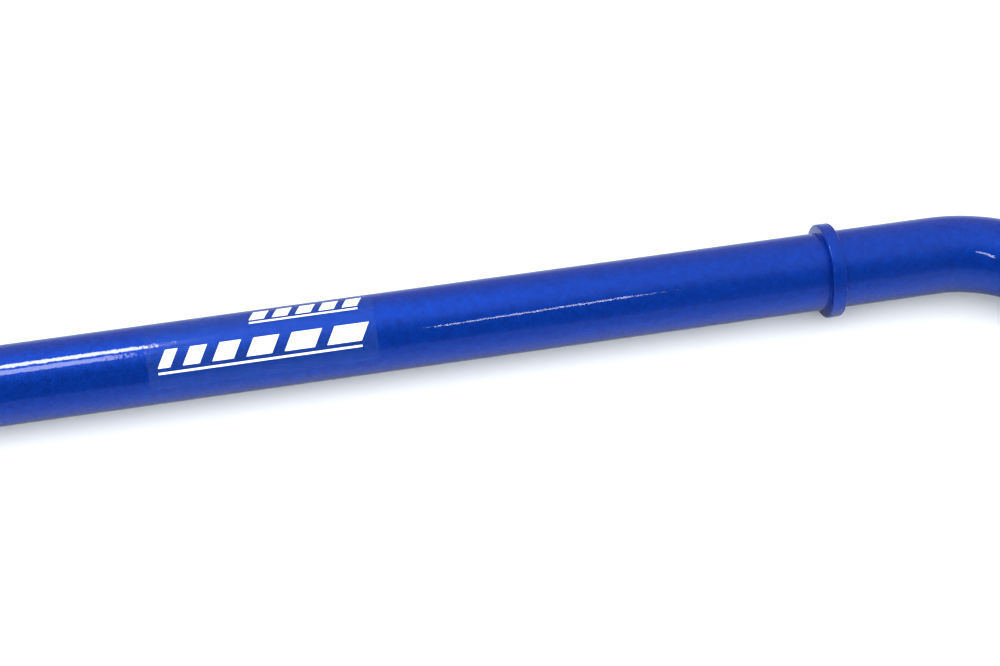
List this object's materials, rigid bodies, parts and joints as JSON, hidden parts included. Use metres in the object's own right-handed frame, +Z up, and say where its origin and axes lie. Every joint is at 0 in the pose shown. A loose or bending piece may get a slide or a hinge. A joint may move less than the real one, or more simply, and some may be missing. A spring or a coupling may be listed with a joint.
{
  "type": "sway bar",
  "caption": "Hollow steel sway bar that resists body roll: painted bent tube with stop rings, flat drilled lever ends on both arms and a clear decal with a white stripe graphic.",
  "frame": {"origin": "on the axis of the centre section, midway between the two ends", "axes": "+X along the centre section to the right end, which carries the decal; the arms reach towards -Y; +Z up from the table that the bar lies flat on"},
  "size_m": [0.8472, 0.2731, 0.0308],
  "materials": {
    "blue_paint": "gloss metallic",
    "clear_film": "gloss clear",
    "white_ink": "gloss"
  },
  "bodies": {
    "left_half": {"bar_tube_left": "blue_paint", "left_stop_ring": "blue_paint", "left_ring_weld": "blue_paint", "left_end_forging": "blue_paint", "left_end_weld": "blue_paint"},
    "right_half": {"bar_tube_right": "blue_paint", "right_stop_ring": "blue_paint", "right_ring_weld": "blue_paint", "right_end_forging": "blue_paint", "right_end_weld": "blue_paint", "decal_film": "clear_film", "decal_print": "white_ink"}
  },
  "joints": [
    {"name": "twist", "type": "hinge", "parent": "left_half", "child": "right_half", "pos_m": [0, 0, 0], "axis": [1, 0, 0], "range_deg": [-15, 15], "stiffness_Nm_per_rad": 3970}
  ]
}
